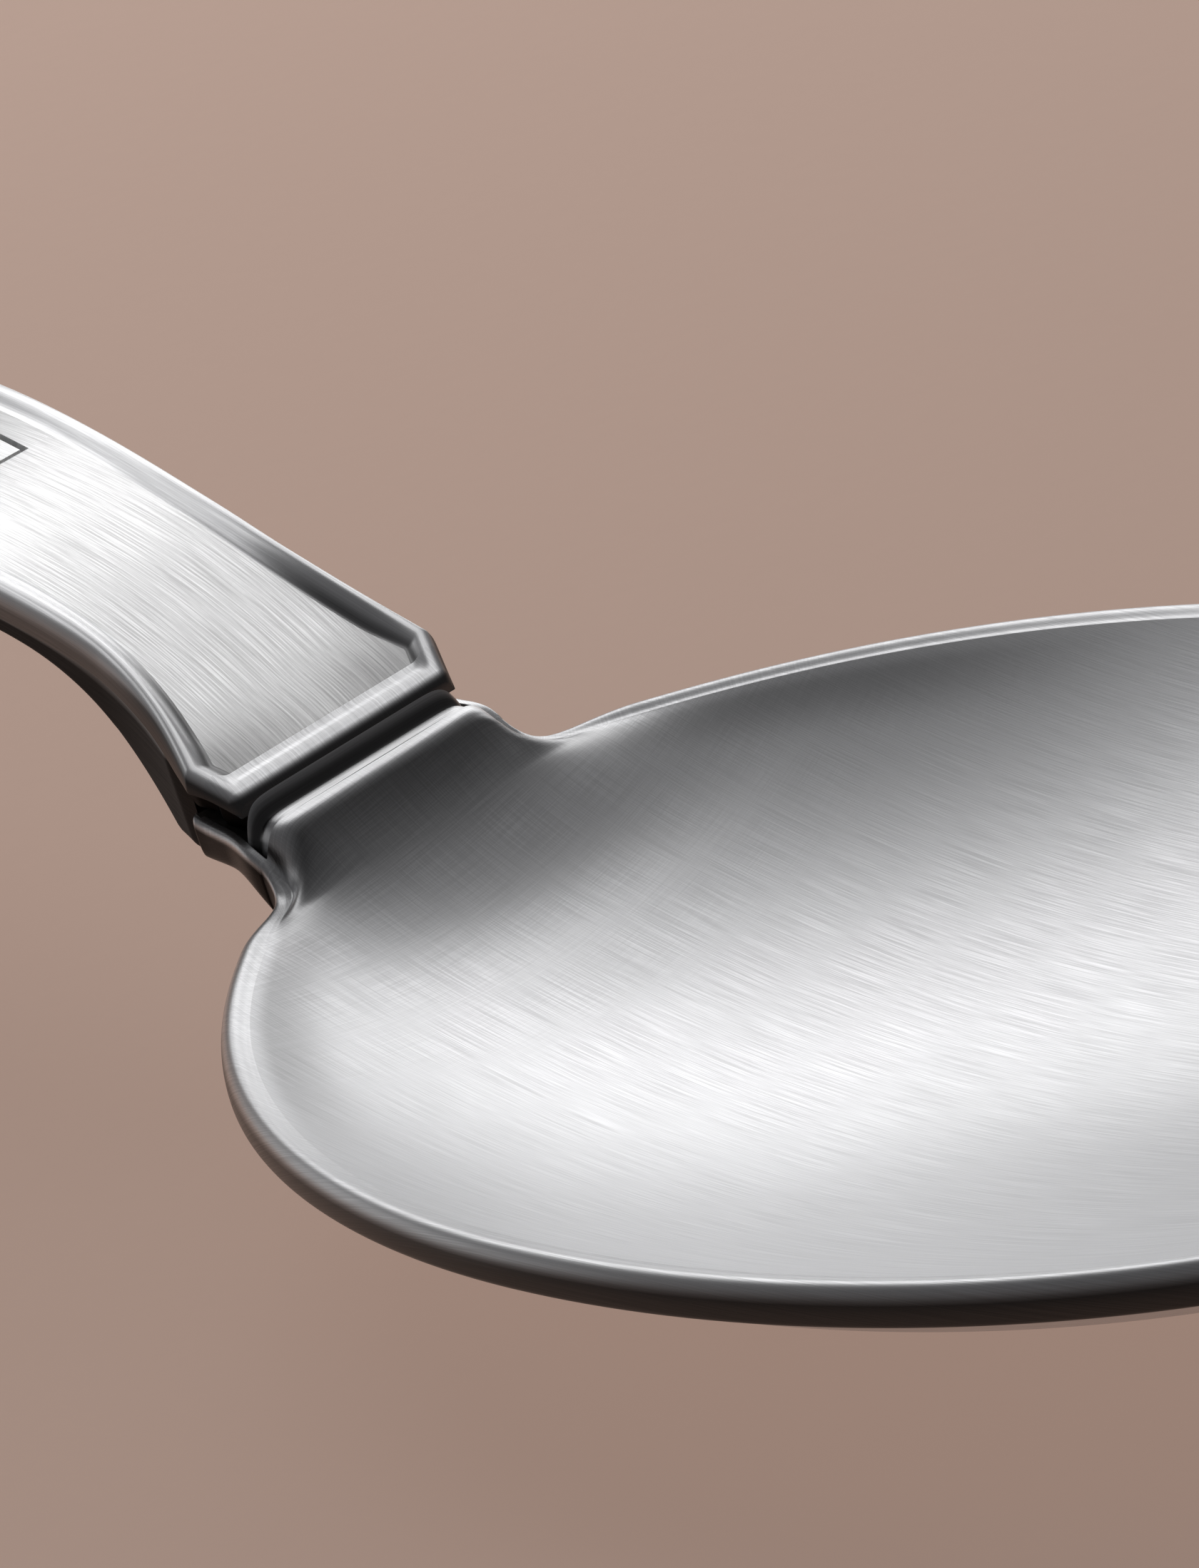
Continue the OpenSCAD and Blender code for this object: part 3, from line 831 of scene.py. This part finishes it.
class Loft:
    """Skin over closed rings with capped ends, or with a closed tip in place of the last cap.

    For the strokes, u runs in millimetres along the rings and v round each from its point number top,
    measured on even_rings where they are given.
    """

    def __init__(self, rings, top, zero_row=0, closed_tip=None, even_rings=None):
        self.rings = rings
        self.count = len(rings[0])
        self.tip = closed_tip
        blocks = rings if closed_tip is None else rings + [full_ring(closed_tip)]
        self.v = [ring_lengths(ring, top) for ring in even_rings or blocks]
        run = running_length(np.array([block[top] for block in blocks]))
        self.u = run - run[zero_row]

    def points(self):
        tip = [] if self.tip is None else [self.tip]
        return (np.vstack(self.rings + tip) + ORIGIN) * MM

    def index(self, i, k):
        """Number of point k of ring i; the tip's two sides share their points."""
        k = k % self.count
        folded = self.tip is not None and i == len(self.rings) and k >= len(self.tip)
        return i * self.count + (self.count - k if folded else k)

    def mark(self, i, k):
        return self.u[i], self.v[i][k]

    def faces(self):
        """Faces, and for each face the u and v of its corners."""
        rows = len(self.rings) - (self.tip is None)
        faces, marks = [], []
        for i in range(rows):
            for k in range(self.count):
                corners = [(i, k), (i, k + 1), (i + 1, k + 1), (i + 1, k)]
                face = [self.index(*corner) for corner in corners]
                keep = [c for c in range(4) if face[c] not in face[:c]]
                faces.append([face[c] for c in keep])
                marks.append([self.mark(*corners[c]) for c in keep])
        ends = [0] if self.tip is not None else [0, len(self.rings) - 1]
        for i in ends:
            faces.append([self.index(i, k) for k in range(self.count)])
            marks.append([self.mark(i, k) for k in range(self.count)])
        return faces, marks


def half_loft(halves, **options):
    """Loft over rings that are given as halves, which end on top."""
    return Loft([full_ring(half) for half in halves], len(halves[0]) - 1, **options)


def face_outward(mesh):
    edit = bmesh.new()
    edit.from_mesh(mesh)
    bmesh.ops.recalc_face_normals(edit, faces=edit.faces)
    edit.to_mesh(mesh)
    edit.free()


def add_piece(name, node, loft, material, sharp_deg=SHARP_DEG, painted_shade=None):
    """Adds a piece in its node's place; its last argument gives each point's share of painted shade."""
    faces, marks = loft.faces()
    mesh = bpy.data.meshes.new(name)
    mesh.from_pydata(loft.points().tolist(), [], faces)
    uv = mesh.uv_layers.new(name=STROKES)
    uv.data.foreach_set("uv", [value for face in marks for mark in face for value in mark])
    face_outward(mesh)
    if painted_shade:
        layer = mesh.attributes.new(PAINTED_SHADE_LAYER, "FLOAT", "POINT")
        layer.data.foreach_set("value", painted_shade(*(loft.points() / MM - ORIGIN).T))
    mesh.shade_smooth()
    mesh.set_sharp_from_angle(angle=math.radians(sharp_deg))
    mesh.materials.append(material)
    piece = bpy.data.objects.new(name, mesh)
    bpy.context.collection.objects.link(piece)
    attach(piece, "root")
    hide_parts(node)
    return piece


# Pieces, with the numbers of their rows and the grading of rows that close up toward one end

HEEL_TO = 4.4
PANEL_FROM = 4.5
HEEL_APPROACH_ROWS = 24
HEEL_ROWS = 18
PANEL_ROWS = 70
PANEL_GRADING = 1.3
PLATE_ROWS = 130
POCKET_ROWS = 120
LAST_ROWS = 40
LAST_WIRE_ROWS = 60
BLADE_NECK_ROWS = 6
BLADE_END_ROWS = 14
BLADE_END_GRADING = 0.6
NECK_WIRE_ROWS = 40
END_WIRE_ROWS = 30
END_WIRE_GRADING = 0.7


def make_bowl(material):
    tongue = graded(TONGUE_LAST, STEP - JOINT_X, TONGUE_ROWS, TONGUE_GRADING)
    halves = [tongue_half_row(s) for s in tongue] + [bowl_half_row(t) for t in bowl_rows()]
    loft = half_loft(halves, zero_row=len(tongue), closed_tip=bowl_half_row(180.0))
    return add_piece("spoon_bowl", "bowl", loft, material, BOWL_SHARP_DEG, bowl_painted_shade)


def make_bead(material):
    places = (BEAD_HALF - STEP) * np.sin(np.radians(np.linspace(-90, 90, BEAD_ROWS)))
    sections = [bead_section(y) for y in places]
    loft = Loft(sections, BEAD_TOP_POINT)
    return add_piece("spoon_neck_bead", "bowl_bead", loft, material, painted_shade=cove_painted_shade)


def panel_places():
    """Rows from the neck wire to the plate, with a pair where the handle's underside steps down."""
    neck = np.linspace(NECK_WIRE_END, HEEL_FROM - STEP, HEEL_APPROACH_ROWS)
    heel = np.linspace(HEEL_FROM, HEEL_TO, HEEL_ROWS)
    return np.concatenate([neck, heel, graded(PANEL_FROM, PLATE_START, PANEL_ROWS, PANEL_GRADING)])


def blade_sections():
    """Places along the blade, with the drops of its top beside the plate's pocket and in the middle."""
    neck = np.linspace(BLADE_START, NECK_WIRE_END - STEP, BLADE_NECK_ROWS)
    pocket = np.linspace(PLATE_START + STEP, PLATE_END - STEP, POCKET_ROWS)
    last = np.linspace(PLATE_END, END_WIRE_START, LAST_ROWS)
    end = HANDLE_LENGTH - graded(WIRE_FOOT - STEP, 0, BLADE_END_ROWS, BLADE_END_GRADING)
    parts = [(neck, wire_height, 0.0),
             (panel_places(), panel_drop, 0.0),
             (pocket, panel_drop, PLATE_THICKNESS),
             (last, panel_drop, 0.0),
             (end, wire_height, 0.0)]
    return [(s, drop(s), drop(s) + depth) for places, drop, depth in parts for s in places]


def make_blade(material):
    """The blade; its strokes are measured without the pocket, so that they run past it unbroken."""
    sections = blade_sections()
    halves = [blade_half_section(s, strip, middle) for s, strip, middle in sections]
    even = [full_ring(blade_half_section(s, strip, strip)) for s, strip, middle in sections]
    loft = half_loft(halves, even_rings=even)
    return add_piece("spoon_blade", "handle_blade", loft, material, painted_shade=blade_painted_shade)


def wire_places():
    beside_plate = np.linspace(PLATE_START, PLATE_END, POCKET_ROWS)[1:]
    last = np.linspace(PLATE_END, END_WIRE_START, LAST_WIRE_ROWS)[1:]
    return np.concatenate([panel_places(), beside_plate, last])


def make_side_wire(name, node, side, material):
    sections = [side_wire_section(s) * [1, side, 1] for s in wire_places()]
    loft = Loft(sections, WIRE_OUTER_POINTS)
    return add_piece(name, node, loft, material, painted_shade=wire_painted_shade)


def make_cross_wire(name, node, places, material):
    loft = half_loft([cross_wire_half_section(s) for s in places])
    return add_piece(name, node, loft, material, painted_shade=outer_painted_shade)


def make_plate(material):
    places = np.linspace(PLATE_START + PLATE_LINE, PLATE_END - PLATE_LINE, PLATE_ROWS)
    loft = half_loft([plate_half_section(s) for s in places])
    return add_piece("spoon_name_plate", "name_plate", loft, material)


# Materials, with strokes counted per millimetre; a share or grain is relative to the fine strokes

# Near-black colour of the painted shade, mixed over the metal by the shade layer
PAINTED_SHADE = (0.018, 0.016, 0.015, 1.0)
FINE_ALONG = 0.35
BROAD_ALONG = 0.07
BROAD_GRAIN = 0.14
BROAD_SHARE = 0.16
CROSS_ALONG = 0.4
CROSS_GRAIN = 0.7
CROSS_TURN_DEG = 83
STROKE_DETAIL = 3.0
STROKE_ROUGHNESS = 0.6
SHADE_SCALE = 0.8
SHADE_STOPS = [(0.35, 0.8), (0.65, 1.0)]
NOISE_RANGE = (0.3, 0.7)
ROUGHNESS_SPREAD = 0.04
STROKE_TURN = 0.25

BOWL_LOOK = dict(tone=(0.74, 0.74, 0.75), roughness=0.37, grain=32.0, relief=1.8e-6, anisotropy=0.55,
                 fade=(3.0, 13.0))
PANEL_LOOK = dict(tone=(0.80, 0.80, 0.80), roughness=0.5, grain=24.0, relief=2.2e-6, anisotropy=0.95)
WIRE_LOOK = dict(tone=(0.86, 0.86, 0.87), roughness=0.36, grain=22.0, relief=1.2e-6, anisotropy=0.6)

SOLDER_DARK = (0.22, 0.22, 0.21, 1.0)
SOLDER_LIGHT = (0.42, 0.42, 0.40, 1.0)
SOLDER_ROUGHNESS = (0.45, 0.6)
SOLDER_SCALE = 4000.0
SOLDER_DETAIL = 2.0


def new_material(name):
    """A new material, its node tree and its shader."""
    material = bpy.data.materials.new(name)
    material.use_nodes = True
    tree = material.node_tree
    return material, tree, tree.nodes["Principled BSDF"]


def link(tree, source, output, target, socket):
    tree.links.new(source.outputs[output], target.inputs[socket])


def stroke_noise(tree, coordinates, scale, turn_deg=0.0):
    """Noise drawn out into strokes; scale gives the strokes per millimetre along and across."""
    mapping = tree.nodes.new("ShaderNodeMapping")
    mapping.vector_type = "TEXTURE"
    mapping.inputs["Rotation"].default_value[2] = math.radians(turn_deg)
    mapping.inputs["Scale"].default_value = (1 / scale[0], 1 / scale[1], 1.0)
    noise = tree.nodes.new("ShaderNodeTexNoise")
    noise.noise_dimensions = "2D"
    noise.inputs["Scale"].default_value = 1.0
    noise.inputs["Detail"].default_value = STROKE_DETAIL
    noise.inputs["Roughness"].default_value = STROKE_ROUGHNESS
    tree.links.new(coordinates, mapping.inputs["Vector"])
    link(tree, mapping, "Vector", noise, "Vector")
    return noise.outputs["Fac"]


def ranged(tree, value, from_range, to_range):
    node = tree.nodes.new("ShaderNodeMapRange")
    for socket, limit in zip(("From Min", "From Max", "To Min", "To Max"), from_range + to_range):
        node.inputs[socket].default_value = limit
    tree.links.new(value, node.inputs["Value"])
    return node.outputs["Result"]


def combined(tree, operation, a, b):
    node = tree.nodes.new("ShaderNodeMath")
    node.operation = operation
    tree.links.new(a, node.inputs[0])
    if isinstance(b, float):
        node.inputs[1].default_value = b
    else:
        tree.links.new(b, node.inputs[1])
    return node.outputs["Value"]


def tone_ramp(tree, stops, tone):
    """Colour ramp of one tone; stops gives the position and strength of each colour in it."""
    ramp = tree.nodes.new("ShaderNodeValToRGB")
    elements = ramp.color_ramp.elements
    for number, (position, strength) in enumerate(stops):
        element = elements[number] if number < 2 else elements.new(position)
        element.position = position
        element.color = (*[strength * channel for channel in tone], 1.0)
    return ramp


def mottled(tree, place, scale, detail, dark, light):
    """Noise on object coordinates, and a colour that follows it from dark to light."""
    noise = tree.nodes.new("ShaderNodeTexNoise")
    noise.inputs["Scale"].default_value = scale
    noise.inputs["Detail"].default_value = detail
    link(tree, place, "Object", noise, "Vector")
    shade = tree.nodes.new("ShaderNodeValToRGB")
    shade.color_ramp.elements[0].color = dark
    shade.color_ramp.elements[1].color = light
    link(tree, noise, "Fac", shade, "Fac")
    return noise.outputs["Fac"], shade.outputs["Color"]


def cross_strokes(tree, coordinates, grain, fade):
    """Strokes across the spoon that fade out along u between the two places in fade."""
    split = tree.nodes.new("ShaderNodeSeparateXYZ")
    tree.links.new(coordinates, split.inputs["Vector"])
    amount = ranged(tree, split.outputs["X"], fade, (1.0, 0.0))
    across = stroke_noise(tree, coordinates, (CROSS_ALONG, grain * CROSS_GRAIN), CROSS_TURN_DEG)
    return combined(tree, "MULTIPLY", combined(tree, "SUBTRACT", across, 0.5), amount)


def stroke_height(tree, coordinates, fine, grain, fade):
    """Height of the strokes: fine ones, broad ones and, where fade is given, crossing ones."""
    broad = stroke_noise(tree, coordinates, (BROAD_ALONG, grain * BROAD_GRAIN))
    height = combined(tree, "ADD", fine, combined(tree, "MULTIPLY", broad, BROAD_SHARE))
    if fade:
        height = combined(tree, "ADD", height, cross_strokes(tree, coordinates, grain, fade))
    return height


def stroke_colour(tree, height, tone):
    """Colour of the metal, darker in the strokes and covered by painted shade."""
    shade = tone_ramp(tree, SHADE_STOPS, tone)
    tree.links.new(combined(tree, "MULTIPLY", height, SHADE_SCALE), shade.inputs["Fac"])
    # The shade layer mixes painted shade over the metal's colour
    painted_shade = tree.nodes.new("ShaderNodeAttribute")
    painted_shade.attribute_name = PAINTED_SHADE_LAYER
    cover = tree.nodes.new("ShaderNodeMix")
    cover.data_type = "RGBA"
    cover.inputs["B"].default_value = PAINTED_SHADE
    link(tree, painted_shade, "Fac", cover, "Factor")
    link(tree, shade, "Color", cover, "A")
    return cover.outputs["Result"]


def brushed_metal(name, tone, roughness, grain, relief, anisotropy, fade=None):
    """Brushed metal with strokes along u; grain counts them per millimetre, relief is in metres."""
    material, tree, shader = new_material(name)
    uv = tree.nodes.new("ShaderNodeUVMap")
    uv.uv_map = STROKES
    fine = stroke_noise(tree, uv.outputs["UV"], (FINE_ALONG, grain))
    height = stroke_height(tree, uv.outputs["UV"], fine, grain, fade)
    tree.links.new(stroke_colour(tree, height, tone), shader.inputs["Base Color"])
    spread = (roughness + ROUGHNESS_SPREAD, roughness - ROUGHNESS_SPREAD)
    tree.links.new(ranged(tree, fine, NOISE_RANGE, spread), shader.inputs["Roughness"])
    bump = tree.nodes.new("ShaderNodeBump")
    bump.inputs["Strength"].default_value = 1.0
    bump.inputs["Distance"].default_value = relief
    tree.links.new(height, bump.inputs["Height"])
    link(tree, bump, "Normal", shader, "Normal")
    tangent = tree.nodes.new("ShaderNodeTangent")
    tangent.direction_type = "UV_MAP"
    tangent.uv_map = STROKES
    link(tree, tangent, "Tangent", shader, "Tangent")
    shader.inputs["Metallic"].default_value = 1.0
    shader.inputs["Anisotropic"].default_value = anisotropy
    shader.inputs["Anisotropic Rotation"].default_value = STROKE_TURN
    return material


def dull_solder():
    """Grey solder with a faint pitting, for the seam in the lap."""
    material, tree, shader = new_material("solder_grey")
    place = tree.nodes.new("ShaderNodeTexCoord")
    noise, colour = mottled(tree, place, SOLDER_SCALE, SOLDER_DETAIL, SOLDER_DARK, SOLDER_LIGHT)
    tree.links.new(colour, shader.inputs["Base Color"])
    tree.links.new(ranged(tree, noise, NOISE_RANGE, SOLDER_ROUGHNESS), shader.inputs["Roughness"])
    shader.inputs["Metallic"].default_value = 1.0
    return material


# Studio, in metres

FLOOR_REACH = 1.5
FLOOR_SCALE = 900.0
FLOOR_DETAIL = 3.0
FLOOR_DARK = (0.25, 0.18, 0.15, 1.0)
FLOOR_LIGHT = (0.27, 0.195, 0.16, 1.0)
FLOOR_ROUGHNESS = 0.9
GLOW = (0.362, 0.255, 0.209)
GLOW_AXIS = (0.834, -0.551, 0.0)
GLOW_REACH = (-0.1, 0.2)
GLOW_STOPS = [(0.0, 1.0), (0.56, 0.76), (0.66, 0.6), (0.95, 0.48)]

# Softboxes: name, azimuth and elevation in degrees from the neck, distance, width, height, radiance, and
# the group of pieces that the light is kept to, if any
SOFTBOXES = [
    ("panel_key", 98, 50, 0.73, 0.95, 0.36, 4.3, "panel"),
    ("panel_side", 86, 20, 0.74, 0.52, 0.42, 1.0, "panel"),
    ("wire_key", 80, 53, 0.74, 0.70, 0.34, 1.1, "wires"),
    ("wire_top", 210, 62, 0.74, 0.60, 0.45, 0.9, "wires"),
    ("front_fill", 45, 22, 0.74, 0.90, 0.50, 0.42, "bowl"),
    ("ramp_fill", 95, 60, 0.72, 0.60, 0.40, 0.12, None),
    ("left_fill", 200, 12, 0.72, 0.60, 0.36, 0.35, None),
    ("key_wide", 158, 43, 0.72, 0.46, 0.44, 0.74, None),
    ("key_middle", 146, 39, 0.70, 0.48, 0.40, 0.86, None),
    ("key_core", 121, 25, 0.68, 0.34, 0.30, 1.4, None),
    ("low_fill", 128, 2, 0.75, 0.44, 0.32, 0.7, None),
]
WORLD = (0.09, 0.09, 0.093, 1.0)

# Camera: its place from the bead, its lens and its sensor are in millimetres
CAMERA_PLACE = (146.8, -97.0, 64.1)
CAMERA_FORWARD = (-0.763, 0.540, -0.355)
CAMERA_UP = (-0.095, 0.449, 0.888)
CAMERA_LENS = 162.64
CAMERA_SENSOR = 36.0
CAMERA_CLIP = 0.005


def floor_glow(tree, place):
    """Glow of the floor, which falls along one direction."""
    along = tree.nodes.new("ShaderNodeVectorMath")
    along.operation = "DOT_PRODUCT"
    along.inputs[1].default_value = GLOW_AXIS
    link(tree, place, "Object", along, 0)
    glow = tone_ramp(tree, GLOW_STOPS, GLOW)
    tree.links.new(ranged(tree, along.outputs["Value"], GLOW_REACH, (0.0, 1.0)), glow.inputs["Fac"])
    return glow.outputs["Color"]


def floor_paper():
    """Plain paper with a fine grain and a soft glow."""
    material, tree, shader = new_material("taupe_paper")
    place = tree.nodes.new("ShaderNodeTexCoord")
    _, colour = mottled(tree, place, FLOOR_SCALE, FLOOR_DETAIL, FLOOR_DARK, FLOOR_LIGHT)
    tree.links.new(colour, shader.inputs["Base Color"])
    tree.links.new(floor_glow(tree, place), shader.inputs["Emission Color"])
    shader.inputs["Emission Strength"].default_value = 1.0
    shader.inputs["Roughness"].default_value = FLOOR_ROUGHNESS
    return material


def make_floor():
    mesh = bpy.data.meshes.new("floor")
    corners = [(x * FLOOR_REACH, y * FLOOR_REACH, 0) for x, y in ((-1, -1), (1, -1), (1, 1), (-1, 1))]
    mesh.from_pydata(corners, [], [(0, 1, 2, 3)])
    mesh.materials.append(floor_paper())
    floor = bpy.data.objects.new("floor", mesh)
    bpy.context.collection.objects.link(floor)


def add_softbox(name, azimuth_deg, elevation_deg, distance, width, height, radiance, lit):
    """Rectangular soft light that faces the neck; lit is the group it is kept to, or None."""
    data = bpy.data.lights.new(name, "AREA")
    data.shape = "RECTANGLE"
    data.size = width
    data.size_y = height
    data.energy = radiance * math.pi * width * height
    lamp = bpy.data.objects.new(name, data)
    azimuth, elevation = math.radians(azimuth_deg), math.radians(elevation_deg)
    aim = Vector((math.cos(elevation) * math.cos(azimuth),
                  math.cos(elevation) * math.sin(azimuth),
                  math.sin(elevation)))
    lamp.rotation_euler = aim.to_track_quat("Z", "Y").to_euler()
    lamp.location = Vector(ORIGIN * MM) + aim * distance
    lamp.visible_camera = False
    lamp.light_linking.receiver_collection = lit
    bpy.context.collection.objects.link(lamp)


def lit_group(name, pieces):
    group = bpy.data.collections.new(name)
    for piece in pieces:
        group.objects.link(piece)
    return group


def make_lights(groups):
    """Soft light, most of it from behind on the left; some reaches only one group of pieces."""
    lit = {name: lit_group(name + "_lit", pieces) for name, pieces in groups.items()}
    for *softbox, group in SOFTBOXES:
        add_softbox(*softbox, lit.get(group))


def make_world():
    """Even dim light from all round, and plain tones in the render."""
    world = bpy.data.worlds.new("studio")
    world.use_nodes = True
    background = world.node_tree.nodes["Background"]
    background.inputs["Color"].default_value = WORLD
    background.inputs["Strength"].default_value = 1.0
    bpy.context.scene.world = world
    bpy.context.scene.view_settings.view_transform = "Standard"


def make_camera():
    """Camera at the photograph's viewpoint."""
    data = bpy.data.cameras.new("camera")
    data.sensor_width = CAMERA_SENSOR
    data.lens = CAMERA_LENS
    data.clip_start = CAMERA_CLIP
    camera = bpy.data.objects.new("camera", data)
    forward = Vector(CAMERA_FORWARD).normalized()
    right = forward.cross(Vector(CAMERA_UP)).normalized()
    up = right.cross(forward)
    turn = Matrix((right, up, -forward)).transposed().to_4x4()
    camera.matrix_world = Matrix.Translation(Vector((ORIGIN + CAMERA_PLACE) * MM)) @ turn
    bpy.context.collection.objects.link(camera)
    bpy.context.scene.camera = camera


def dress_solder():
    """The solder in the lap keeps its solid, with a better material."""
    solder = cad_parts["lap_solder"]
    solder.data.materials.clear()
    solder.data.materials.append(dull_solder())


def make_spoon():
    """Makes all the pieces, and gives back the groups that have lights of their own."""
    bowl_metal = brushed_metal("bowl_brushed", **BOWL_LOOK)
    handle_metal = brushed_metal("handle_brushed", **PANEL_LOOK)
    plate_metal = brushed_metal("plate_brushed", **PANEL_LOOK)
    wire_metal = brushed_metal("wire_brushed", **WIRE_LOOK)
    dress_solder()
    bowl = [make_bowl(bowl_metal)]
    make_bead(wire_metal)
    panel = [make_blade(handle_metal), make_plate(plate_metal)]
    neck = np.linspace(BLADE_START, NECK_WIRE_END, NECK_WIRE_ROWS)
    end = HANDLE_LENGTH - graded(WIRE_FOOT, 0, END_WIRE_ROWS, END_WIRE_GRADING)
    wires = [make_side_wire("spoon_left_wire", "left_border", 1.0, wire_metal),
             make_side_wire("spoon_right_wire", "right_border", -1.0, wire_metal),
             make_cross_wire("spoon_neck_wire", "neck_border", neck, wire_metal),
             make_cross_wire("spoon_end_wire", "end_border", end, wire_metal)]
    return {"bowl": bowl, "panel": panel, "wires": wires}


make_camera()
make_floor()
make_lights(make_spoon())
make_world()
